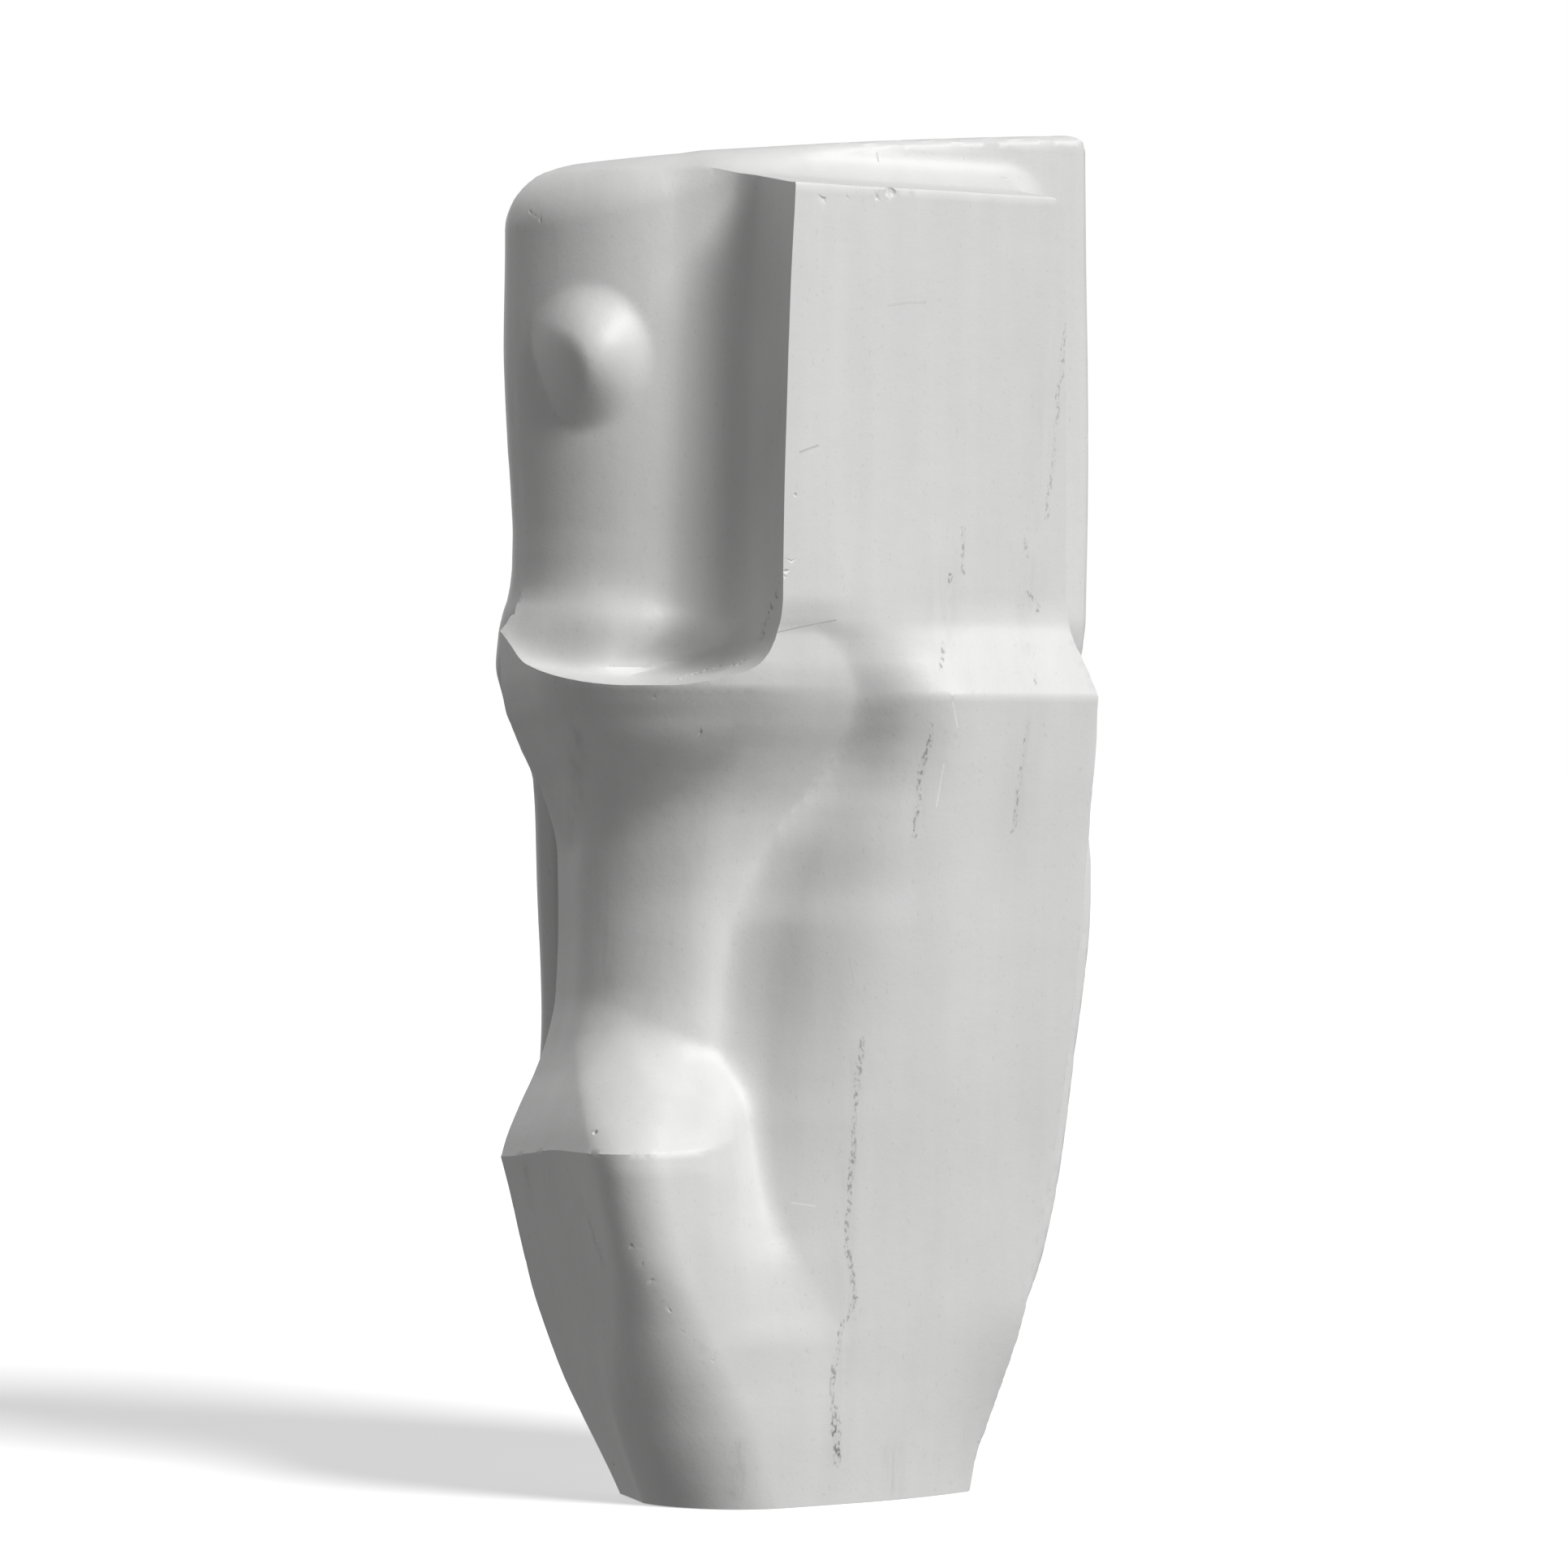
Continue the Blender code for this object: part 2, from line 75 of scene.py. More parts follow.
# Back slab, whose front face recedes and turns round at the left into the chest
SLAB_RIGHT = 211.0
SLAB_FRONT_AT_RIGHT = 38.0
SLAB_FRONT_TURN = 0.105
SLAB_FRONT_AT_RIGHT_LOW = 46.0
SLAB_FRONT_TURN_LOW = 0.33
CHEST_RADIUS = 75.0
LOW_SLAB_RADIUS = 8.0
SLAB_TOP_AT_ARRIS = 684.6
SLAB_TOP_RISE = 0.0885
SLAB_TOP_BULGE = 2.5
SLAB_TOP_MIDDLE = 55.0
SLAB_TOP_REACH = 150.0
SLAB_TOP_EDGE = 6.0
SHOULDER_LEFT = 31.0
SHOULDER_RIGHT = 13.0
SHOULDER_FROM = -75.0
SHOULDER_TO = 70.0
SLAB_EDGE = 7.0
BACK_EDGE = 16.0
BACK_AT_LEFT = 146.0
BACK_TURN = 0.10
BACK_BULGE = 10.0
BACK_BULGE_Z = 300.0
BACK_BULGE_REACH = 170.0
BACK_LEFT_X = -60.0
FIGURE_BACK = 128.0

# Turn of the left side towards the back, at the base
BASE_TURN_IN = 0.27
BASE_TURN_FROM = 60.0
BASE_TURN_TOP = 110.0

# Niche scooped out of the upper left corner
WALL_FILLET = 33.0
WALL_X = [(440, -2.5), (508, -1.4), (553, 0), (610, 2), (666, 5), (700, 6)]
FLOOR_RADIUS = 52.0
FLOOR_RADIUS_LEFT = 30.0
FLOOR_RADIUS_RIGHT = 36.0
FLOOR_Z = 412.8
FLOOR_LEVEL_TO = 35.0
FLOOR_RISE = 0.014
FLOOR_POWER = 1.6

# Small pointed breast in the niche, its ridge and its two slopes
BREAST_X = -101.0
BREAST_Z = 580.0
BREAST_WIDE = 36.0
BREAST_HIGH = 39.0
BREAST_DEEP = 17.0
BREAST_FACET = 0.8
BREAST_FOOT = 27.0
BREAST_LEAN = 0.36
BREAST_SOFT = 7.0
CHEST_ACROSS = (0.857, -0.515)

# Ledges that break the front
RIGHT_LEDGE_Z = 408.0
LEFT_LEDGE_Z = 180.0
LEDGE_LIFT = 6.0
HIP_DROP = 0.5
HIP_SOFT = 20.0
HIP_LEAN_SHARE = 0.5
BELLY_LEAN_REACH = 75.0
BASE_BULGE = 11.0
BASE_MIDDLE = 42.0
BASE_HALF = 75.0
BASE_BULGE_TOP = 100.0
SIDE_SAG = 7.0
SIDE_SAG_FROM = 60.0
SIDE_SAG_TO = 135.0

# Limits between which one form goes over into the next
LEDGE_LIFT_FROM = -50.0
LEDGE_LIFT_TO = -8.0
HIP_DROP_FROM = -60.0
HIP_DROP_TO = 2.0
CHEST_FROM = 405.0
CHEST_TO = 450.0
FLOOR_SHARP_TO = -92.0
FLOOR_WIDE_FROM = -55.0
FLOOR_WIDE_TO = -45.0
FLOOR_NARROW_FROM = -8.0
TOP_FILLET_LEFT = -30.0
TOP_FILLET_LOW = 600.0
TOP_FILLET_HIGH = 640.0


def curve(points, at):
    """A smooth curve through a few (place, value) points that never overshoots them."""
    px = np.array([p[0] for p in points], dtype=float)
    py = np.array([p[1] for p in points], dtype=float)
    step = np.diff(px)
    rise = np.diff(py) / step
    slope = np.zeros_like(py)
    slope[0] = rise[0]
    slope[-1] = rise[-1]
    same = rise[:-1] * rise[1:] > 0.0
    w1 = 2.0 * step[1:] + step[:-1]
    w2 = step[1:] + 2.0 * step[:-1]
    left = np.where(same, rise[:-1], 1.0)
    right = np.where(same, rise[1:], 1.0)
    slope[1:-1] = np.where(same, (w1 + w2) / (w1 / left + w2 / right), 0.0)
    at = np.clip(at, px[0], px[-1])
    i = np.clip(np.searchsorted(px, at, side="right") - 1, 0, len(px) - 2)
    t = (at - px[i]) / step[i]
    t2 = t * t
    t3 = t2 * t
    return ((2 * t3 - 3 * t2 + 1) * py[i] + (t3 - 2 * t2 + t) * step[i] * slope[i]
            + (3 * t2 - 2 * t3) * py[i + 1] + (t3 - t2) * step[i] * slope[i + 1])


def step_up(a, b, at):
    """Zero before a, one after b, smooth between."""
    t = np.clip((at - a) / (b - a), 0.0, 1.0)
    return t * t * (3.0 - 2.0 * t)


def round_max(a, b, radius):
    """The larger of two fields, with the edge between them rounded to a radius."""
    pa = np.maximum(a + radius, 0.0)
    pb = np.maximum(b + radius, 0.0)
    rounded = np.sqrt(pa * pa + pb * pb) - radius
    return np.where((pa > 0.0) & (pb > 0.0), rounded, np.maximum(a, b))


def round_min(a, b, radius):
    """The smaller of two fields, with the inner corner between them filleted."""
    return -round_max(-a, -b, radius)


def soft_min(a, b, width):
    """The smaller of two values, blended over a width."""
    h = np.maximum(width - np.abs(a - b), 0.0) / width
    return np.minimum(a, b) - h * h * width * 0.25


def soft_max(a, b, width):
    """The larger of two values, blended over a width."""
    return -soft_min(-a, -b, width)


# Left side of the figure, above and below the ledge of the left hip
LEFT_ABOVE = [(180, -92.5), (190, -88.8), (206, -81), (223, -71.9), (240, -65), (262, -60),
              (300, -58.5), (333, -59), (366, -68), (380, -75.5), (395, -83), (407, -89),
              (425, -92), (445, -92.5), (480, -92.5)]
LEFT_BELOW = [(0, -47), (16, -53.5), (32, -59.5), (46, -64), (65, -69), (98, -74.5),
              (132, -81.5), (165, -88.8), (180, -92.8)]

# Set-back of the belly behind the block's face, and the fronts of the hip and thigh
BELLY = [(180, 40), (250, 40), (290, 38), (320, 33), (345, 26), (366, 17), (380, 11),
         (395, 5), (410, 1.5), (425, 0), (440, 0)]
BELLY_LEAN = [(170, 0.15), (215, 0.3), (300, 0.36), (350, 0.3), (390, 0.12), (412, 0)]
HIP = [(0, 4), (10, 10), (22, 19), (36, 31), (50, 45), (70, 66), (100, 100)]
THIGH = [(0, 8), (60, 4), (120, 3), (180, 4)]

# Depth and place of the valley between the belly and the right side
VALLEY_DEPTH = [(0, 9), (55, 6), (80, 6), (100, 9), (121, 13), (140, 19), (160, 25), (190, 33),
                (215, 38), (247, 42), (290, 43), (320, 41), (345, 35), (374, 23),
                (395, 11), (409, 4), (425, 0.5), (440, 0)]
VALLEY_X = [(60, 14), (104, 4), (130, -2), (157, -5), (190, -4), (210, -1), (247, 4),
            (290, 8.5), (309, 15), (330, 22), (349, 33), (363, 43), (374, 49), (390, 54),
            (409, 56), (440, 58)]
VALLEY_SOFT = [(60, 18), (140, 20), (200, 22), (260, 24), (340, 22), (400, 16), (440, 14)]
THIGH_SIDE = [(0, 0.3), (100, 0.5), (140, 0.8), (170, 1.0), (205, 1.0), (240, 0.6),
              (290, 0.3), (440, 0.2)]
FLANK_REACH = [(60, 110), (150, 108), (247, 112), (309, 106), (350, 88), (380, 70),
               (409, 62), (440, 66)]
FLANK_POWER = 3.6
FLANK_STRETCH = 1.6

# Forward lean of the right side, above and below its ledge
RIGHT_FACE_ABOVE = [(408, -15), (420, -10.5), (434, -5), (446, -1), (458, 0), (480, 0)]
RIGHT_FACE_BELOW = [(0, 5), (51, 1.5), (82, 0), (151, -2), (206, -5), (273, -8), (326, -10),
                    (374, -13), (408, -15)]
RIGHT_EDGE_ABOVE = [(408, 180), (422, 176.5), (434, 173), (446, 170.6), (458, 170),
                    (480, 170)]
RIGHT_EDGE_BELOW = [(0, 122), (10, 123.5), (20, 126), (34, 130.5), (51, 135),
                    (82, 142.3), (120, 150), (151, 156.5),
                    (206, 165), (273, 172), (326, 176), (374, 179), (408, 180)]

# Edges of the back slab
SLAB_LEFT = [(0, -34), (32, -46), (65, -56), (98, -64), (132, -70), (170, -72), (215, -62),
             (249, -60), (308, -62), (365, -65), (382, -72.5), (395, -78.5), (407, -83),
             (425, -87), (440, -86), (450, -84), (458, -81.5), (466, -80), (476, -79.3),
             (490, -79.3), (510, -80.5), (540, -83), (590, -85.5), (640, -85), (700, -85)]
SLAB_RIGHT_EDGE = [(0, 136), (20, 144), (34, 152), (54, 168), (87, 183), (121, 194),
                   (154, 200.5), (180, 204.5), (222, 209.3), (256, 214), (290, 217),
                   (315, 217.5), (345, 215.5), (380, 211), (420, 210), (540, 212),
                   (640, 210.5), (700, 210)]
CORNER_RADIUS = [(0, 50), (40, 50), (90, 36), (130, 26), (178, 26), (240, 46), (330, 50),
                 (380, 66), (410, 92), (480, 104)]
BACK_TAPER = [(0, 28), (60, 14), (140, 3), (220, 0), (700, 0)]


def front_depth(x, z):
    """Depth of the figure's front below the block: belly, thigh, valley and right flank."""
    above = z - LEFT_LEDGE_Z - LEDGE_LIFT * step_up(LEDGE_LIFT_FROM, LEDGE_LIFT_TO, x)
    dome = curve(HIP, above * (1.0 + HIP_DROP * step_up(HIP_DROP_FROM, HIP_DROP_TO, x)))
    hip = np.where(above > 0.0, dome, curve(THIGH, z))
    from_valley = x - curve(VALLEY_X, z)
    lean = curve(BELLY_LEAN, z) * np.clip(-from_valley, 0.0, BELLY_LEAN_REACH)
    belly = soft_min(curve(BELLY, z) + lean, hip + HIP_LEAN_SHARE * lean, HIP_SOFT)
    depth = curve(VALLEY_DEPTH, z)
    soft = curve(VALLEY_SOFT, z)
    left_part = soft_max(belly, depth + curve(THIGH_SIDE, z) * from_valley, soft)
    upper = curve(RIGHT_FACE_ABOVE, z)
    face = np.where(z > RIGHT_LEDGE_Z, upper, curve(RIGHT_FACE_BELOW, z))
    outward = np.maximum(x - BASE_MIDDLE, 0.0) / BASE_HALF
    face = face + BASE_BULGE * outward ** 2 * (1.0 - step_up(0.0, BASE_BULGE_TOP, z))
    share = np.clip(1.0 - from_valley / curve(FLANK_REACH, z), 0.0, FLANK_STRETCH)
    flank = face + (depth - face) * share ** FLANK_POWER
    return soft_min(left_part, flank, soft)


def breast(x, y, z):
    """How far the small breast stands out of the chest: a dome cut by a facet at the left."""
    across = CHEST_ACROSS[0] * x + CHEST_ACROSS[1] * y - BREAST_X
    up = z - BREAST_Z
    r2 = (across / BREAST_WIDE) ** 2 + (up / BREAST_HIGH) ** 2
    dome = BREAST_DEEP * np.clip(1.0 - r2, 0.0, 1.0) ** 2
    facet = BREAST_FACET * (across + BREAST_FOOT + BREAST_LEAN * up)
    return np.maximum(soft_min(dome, facet, BREAST_SOFT), 0.0)


def slab_field(x, y, z):
    """Back slab, with the chest as its rounded front left corner."""
    high = step_up(CHEST_FROM, CHEST_TO, z)
    front_low = SLAB_FRONT_AT_RIGHT_LOW + (SLAB_RIGHT - x) * SLAB_FRONT_TURN_LOW
    front_high = SLAB_FRONT_AT_RIGHT + (SLAB_RIGHT - x) * SLAB_FRONT_TURN
    front = front_low + (front_high - front_low) * high
    radius = LOW_SLAB_RADIUS + (CHEST_RADIUS - LOW_SLAB_RADIUS) * high
    face = round_max(front - y, curve(SLAB_LEFT, z) - x, radius)
    face = face - breast(x, y, z)
    bulge = BACK_BULGE * np.exp(-((z - BACK_BULGE_Z) / BACK_BULGE_REACH) ** 2)
    back_y = BACK_AT_LEFT - (x - BACK_LEFT_X) * BACK_TURN + bulge - curve(BACK_TAPER, z)
    back = y - back_y
    right = x - curve(SLAB_RIGHT_EDGE, z)
    field = round_max(face, right, SLAB_EDGE)
    field = round_max(field, back, BACK_EDGE)
    middle = (x - SLAB_TOP_MIDDLE) / SLAB_TOP_REACH
    top = z - (SLAB_TOP_AT_ARRIS + SLAB_TOP_RISE * x + SLAB_TOP_BULGE * (1.0 - middle ** 2))
    fade = 1.0 - step_up(SHOULDER_FROM, SHOULDER_TO, x)
    field = round_max(field, top, SLAB_TOP_EDGE + (SHOULDER_LEFT - SLAB_TOP_EDGE) * fade)
    return np.maximum(field, round_max(right, top, SHOULDER_RIGHT))


def niche_field(x, y, z):
    """Air of the niche: right wall, chest behind and scooped floor, open left and above."""
    floor = FLOOR_Z + FLOOR_RISE * np.maximum(y - FLOOR_LEVEL_TO, 0.0) ** FLOOR_POWER - z
    field = round_max(x - curve(WALL_X, z), -slab_field(x, y, z), WALL_FILLET)
    wider = (FLOOR_RADIUS - FLOOR_RADIUS_LEFT) * step_up(FLOOR_SHARP_TO, FLOOR_WIDE_FROM, x)
    narrower = (FLOOR_RADIUS - FLOOR_RADIUS_RIGHT) * step_up(FLOOR_WIDE_TO, FLOOR_NARROW_FROM, x)
    radius = FLOOR_RADIUS_LEFT + wider - narrower
    return round_max(field, floor, radius)


def figure_field(x, y, z):
    """The figure and upper block before the niche is cut."""
    front = front_depth(x, z) - y
    zs = z + SIDE_SAG * step_up(SIDE_SAG_FROM, SIDE_SAG_TO, y)
    left_x = np.where(zs > LEFT_LEDGE_Z, curve(LEFT_ABOVE, zs), curve(LEFT_BELOW, zs))
    turn = BASE_TURN_IN * (1.0 - step_up(0.0, BASE_TURN_TOP, z))
    left_x = left_x + turn * np.maximum(y - BASE_TURN_FROM, 0.0)
    field = round_max(front, left_x - x, curve(CORNER_RADIUS, z))
    above = z > RIGHT_LEDGE_Z
    right_x = np.where(above, curve(RIGHT_EDGE_ABOVE, z), curve(RIGHT_EDGE_BELOW, z))
    field = round_max(field, x - right_x, BLOCK_ARRIS)
    top = z - (BLOCK_TOP + BLOCK_TOP_SLOPE * np.clip(y, 0.0, BLOCK_DEEP))
    corner = round_max(x - right_x, top, BLOCK_TOP_CORNER)
    field = np.maximum(round_max(field, top, BLOCK_ARRIS), corner)
    back = y - (FIGURE_BACK - curve(BACK_TAPER, z))
    return np.maximum(field, back)


def stone(x, y, z):
    """The whole carved block, negative inside."""
    carved = np.maximum(figure_field(x, y, z), -niche_field(x, y, z))
    over_block = step_up(TOP_FILLET_LOW, TOP_FILLET_HIGH, z) * step_up(TOP_FILLET_LEFT, 0.0, x)
    fillet = SIDE_FILLET + (SLAB_TOP_FILLET - SIDE_FILLET) * over_block
    joined = round_min(carved, slab_field(x, y, z), fillet)
    return np.maximum(joined, -z)


def grid_line(low, high, cell):
    """Even places from low to high, shifted so that zero falls inside a cell."""
    start = (math.floor(low / cell - MARGIN) + 0.37) * cell
    count = int(math.ceil((high - start) / cell + MARGIN)) + 1
    return start + cell * np.arange(count)


def crossing(field, p, q, fp, fq):
    """Where the surface cuts each grid edge from p to q, by repeated false position."""
    a = np.zeros(len(p))
    b = np.ones(len(p))
    fa = fp.copy()
    fb = fq.copy()
    for turn in range(6):
        share = fa / (fa - fb)
        if turn % 2:
            share = np.full_like(share, 0.5)
        t = a + (b - a) * share
        ft = field(*(p + (q - p) * t[:, None]).T)
        same = (ft > 0.0) == (fa > 0.0)
        a = np.where(same, t, a)
        fa = np.where(same, ft, fa)
        b = np.where(same, b, t)
        fb = np.where(same, fb, ft)
    t = a + (b - a) * fa / (fa - fb)
    return p + (q - p) * t[:, None]


def normals(field, points, reach=0.05):
    """Unit directions of steepest rise of the field."""
    out = np.empty_like(points)
    for axis in range(3):
        shift = np.zeros(3)
        shift[axis] = reach
        out[:, axis] = field(*(points + shift).T) - field(*(points - shift).T)
    return out / np.maximum(np.linalg.norm(out, axis=1), 1e-12)[:, None]


def fill_saddles(values):
    """Fill the grid corners where the surface would otherwise touch itself along an edge."""
    for axis in range(3):
        b = axis - 2
        c = axis - 1
        corners = []
        for db, dc in ((0, 0), (1, 0), (1, 1), (0, 1)):
            cut = [slice(None)] * 3
            cut[b] = slice(db, values.shape[b] - 1 + db)
            cut[c] = slice(dc, values.shape[c] - 1 + dc)
            corners.append((values[tuple(cut)], db, dc))
        inside = [corner[0] < 0.0 for corner in corners]
        saddle = (inside[0] == inside[2]) & (inside[1] == inside[3]) & (inside[0] != inside[1])
        for at in np.argwhere(saddle):
            outer = [k for k in range(4) if not inside[k][tuple(at)]]
            k = min(outer, key=lambda n: corners[n][0][tuple(at)])
            place = at.copy()
            place[b] += corners[k][1]
            place[c] += corners[k][2]
            values[tuple(place)] = -SADDLE_FILL
    return values


def contour(field, low, high, cell):
    """Closed surface of a field: one point to each cell it crosses, one face to each edge."""
    lines = [grid_line(low[k], high[k], cell) for k in range(3)]
    size = np.array([len(line) for line in lines])
    gx, gy, gz = np.meshgrid(*lines, indexing="ij")
    values = field(gx, gy, gz)
    for turn in range(3):
        values = fill_saddles(values)
    inside = values < 0.0
    cells = size - 1
    ata = np.zeros((cells.prod(), 6))
    atb = np.zeros((cells.prod(), 3))
    mid = np.zeros((cells.prod(), 4))
    quads = []
    for axis in range(3):
        one = np.zeros(3, dtype=int)
        one[axis] = 1
        last = tuple(slice(0, size[k] - one[k]) for k in range(3))
        nxt = tuple(slice(one[k], size[k]) for k in range(3))
        change = inside[last] != inside[nxt]
        at = np.argwhere(change)
        p = np.stack([lines[k][at[:, k]] for k in range(3)], axis=1)
        q = np.stack([lines[k][at[:, k] + one[k]] for k in range(3)], axis=1)
        fp = values[tuple(at.T)]
        fq = values[tuple((at + one).T)]
        hit = crossing(field, p, q, fp, fq)
        n = normals(field, hit)
        b = axis - 2
        c = axis - 1
        ring = []
        for db, dc in ((0, 0), (-1, 0), (-1, -1), (0, -1)):
            cell_at = at.copy()
            cell_at[:, b] += db
            cell_at[:, c] += dc
            index = np.ravel_multi_index(tuple(cell_at.T), tuple(cells))
            ring.append(index)
            offset = (n * hit).sum(axis=1)
            pairs = ((0, 0), (0, 1), (0, 2), (1, 1), (1, 2), (2, 2))
            for slot, (i, j) in enumerate(pairs):
                ata[:, slot] += np.bincount(index, n[:, i] * n[:, j], len(ata))
            for i in range(3):
                atb[:, i] += np.bincount(index, n[:, i] * offset, len(ata))
                mid[:, i] += np.bincount(index, hit[:, i], len(ata))
            mid[:, 3] += np.bincount(index, minlength=len(ata))
        ring = np.stack(ring, axis=1)
        flip = inside[tuple(at.T)]
        ring[~flip] = ring[~flip][:, ::-1]
        quads.append(ring)
    quads = np.concatenate(quads)
    used = np.unique(quads)
    count = mid[used, 3]
    centre = mid[used, :3] / count[:, None]
    full = ata[used][:, [0, 1, 2, 1, 3, 4, 2, 4, 5]].reshape(-1, 3, 3)
    rest = atb[used] - np.einsum("nij,nj->ni", full, centre)
    eased = full + 0.02 * count[:, None, None] * np.eye(3)
    points = centre + np.linalg.solve(eased, rest[:, :, None])[:, :, 0]
    corner = np.stack(np.unravel_index(used, tuple(cells)), axis=1)
    for k in range(3):
        near = lines[k][corner[:, k]]
        points[:, k] = np.clip(points[:, k], near, near + cell)
    lookup = np.full(cells.prod(), -1)
    lookup[used] = np.arange(len(used))
    return points, lookup[quads]


def split_quads(field, points, quads):
    """Two triangles for each quad, along the diagonal that lies nearer the surface."""
    p = points[quads]
    one = np.abs(field(*((p[:, 0] + p[:, 2]) * 0.5).T))
    two = np.abs(field(*((p[:, 1] + p[:, 3]) * 0.5).T))
    first = np.where((one <= two)[:, None], quads[:, [0, 1, 2]], quads[:, [1, 2, 3]])
    second = np.where((one <= two)[:, None], quads[:, [0, 2, 3]], quads[:, [1, 3, 0]])
    return np.concatenate([first, second])


def limits():
    """Lowest and highest corner of the space that holds the stone, in parts."""
    left = min(p[1] for p in LEFT_ABOVE + LEFT_BELOW + SLAB_LEFT)
    front = min(p[1] for p in RIGHT_FACE_ABOVE + RIGHT_FACE_BELOW)
    right = max(p[1] for p in SLAB_RIGHT_EDGE)
    back = max(BACK_AT_LEFT + BACK_BULGE, FIGURE_BACK)
    top = SLAB_TOP_AT_ARRIS + SLAB_TOP_RISE * right + SLAB_TOP_BULGE
    return (left - AIR, front - AIR, 0.0), (right + AIR, back + AIR, top + AIR)

# The photograph's view, in parts and in pixels of its 1932 by 1932 frame
VIEW_TURN = math.radians(31.0)      # how far the block's face is turned from the camera
VIEW_DISTANCE = 3000.0
EYE_Z = 378.0
FOCAL = 7384.0
PHOTO_SIDE = 1932.0
PHOTO_CENTRE_X = 966.0
HORIZON_Y = 930.0
SENSOR = 36.0

# Chips that stand alone, as photo place, half width and depth in parts
CHIPS = [(1097, 236, 3.4, 1.5), (1080, 243, 1.6, 0.7), (1171, 229, 1.2, 0.5), (733, 1395, 1.7, 0.9),
         (1226, 1734, 1.3, 0.6), (1207, 1779, 1.2, 0.5), (807, 860, 1.1, 0.4), (863, 902, 1.3, 0.4)]

# Chips that the photo does not show: it is clean there, or its own wear is some 15 pixels away
UNSEEN_CHIPS = [(1240, 222, 1.0, 0.4), (769, 1842, 1.4, 0.6), (757, 1805, 1.1, 0.5),
                (1339, 540, 1.0, 0.4), (978, 420, 0.9, 0.4), (980, 610, 1.0, 0.4)]

# Rows of small chips along an edge, as two photo places, how many, half width and depth. The
# upper end of the fourth row runs off the worn arris onto face that is clean in the photo.
CHIP_ROWS = [((817, 841), (871, 826), 9, 1.6, 0.55), ((871, 826), (924, 813), 9, 1.5, 0.5),
             ((937, 790), (953, 742), 10, 1.5, 0.6), ((953, 742), (975, 690), 6, 1.0, 0.4),
             ((1010, 246), (1180, 230), 7, 0.9, 0.35), ((775, 1530), (837, 1633), 7, 0.8, 0.18),
             ((837, 1633), (880, 1680), 4, 0.8, 0.18), ((647, 262), (667, 270), 4, 0.9, 0.3)]
CHIP_SEED = 4
CHIP_PLACE_SHARE = (0.1, 0.9)       # where a chip falls in its share of the row
CHIP_JITTER = 1.5                   # photo pixels off the row
CHIP_SIZES = (0.6, 1.3)
CHIP_ROUGH = 0.35                   # unevenness of a scoop, in parts
CHIP_ROUGH_WAVE = 2.6
CHIP_ROUGH_SEED = 1
CHIP_LIFT = 0.5                     # height above the underside that stays unchipped
CHIP_REACH = 1.35                   # how far around a chip the surface is made finer
CHIP_REACH_MORE = 1.6
CHIP_EDGES = (2.4, 1.2, 0.7)        # longest edge left by each round of splitting

# Steps along the photo's sight lines, in parts
SIGHT_NEAR = 160.0
SIGHT_FAR = 260.0
SIGHT_STEP = 1.0
SIGHT_HALVINGS = 12

# Settling of points on the chipped surface, in parts
SETTLE_TURNS = 4
SETTLE_SHIFT = 0.05
SETTLE_LEAST_SLOPE = 0.25
SETTLE_LONGEST = 0.6

# Crossing waves that make a surface uneven
WAVE_COUNT = 7
WAVE_SPREAD = (0.7, 1.5)
WAVE_PHASE = 6.3
WAVE_SHARE = 3.5

UNDERSIDE_SNAP = 0.2                # parts within which a point counts as on the underside
SHARP_ANGLE = math.radians(30.0)


def view_axes():
    """Unit directions, in the model's frame, to the camera's right and away from it."""
    right = np.array([math.cos(VIEW_TURN), -math.sin(VIEW_TURN), 0.0])
    away = np.array([math.sin(VIEW_TURN), math.cos(VIEW_TURN), 0.0])
    return right, away


def on_stone(pixels):
    """Where the photograph's sight lines through some pixels first meet the stone, in parts."""
    right, away = view_axes()
    across = (np.array([p[0] for p in pixels]) - PHOTO_CENTRE_X) / FOCAL
    down = (np.array([p[1] for p in pixels]) - HORIZON_Y) / FOCAL
    line = across[:, None] * right + away - down[:, None] * np.array([0.0, 0.0, 1.0])
    eye = -VIEW_DISTANCE * away + np.array([0.0, 0.0, EYE_Z])
    reach = np.arange(VIEW_DISTANCE - SIGHT_NEAR, VIEW_DISTANCE + SIGHT_FAR, SIGHT_STEP)
    found = np.full((len(pixels), 3), np.nan)
    for k in range(len(pixels)):
        along = eye + line[k] * reach[:, None]
        inside = stone(*along.T) < 0.0
        if inside.any():
            near = reach[np.argmax(inside)]
            far = near - SIGHT_STEP
            for turn in range(SIGHT_HALVINGS):
                half = (near + far) * 0.5
                if stone(*(eye + line[k] * half)[:, None])[0] < 0.0:
                    near = half
                else:
                    far = half
            found[k] = eye + line[k] * near
    return found


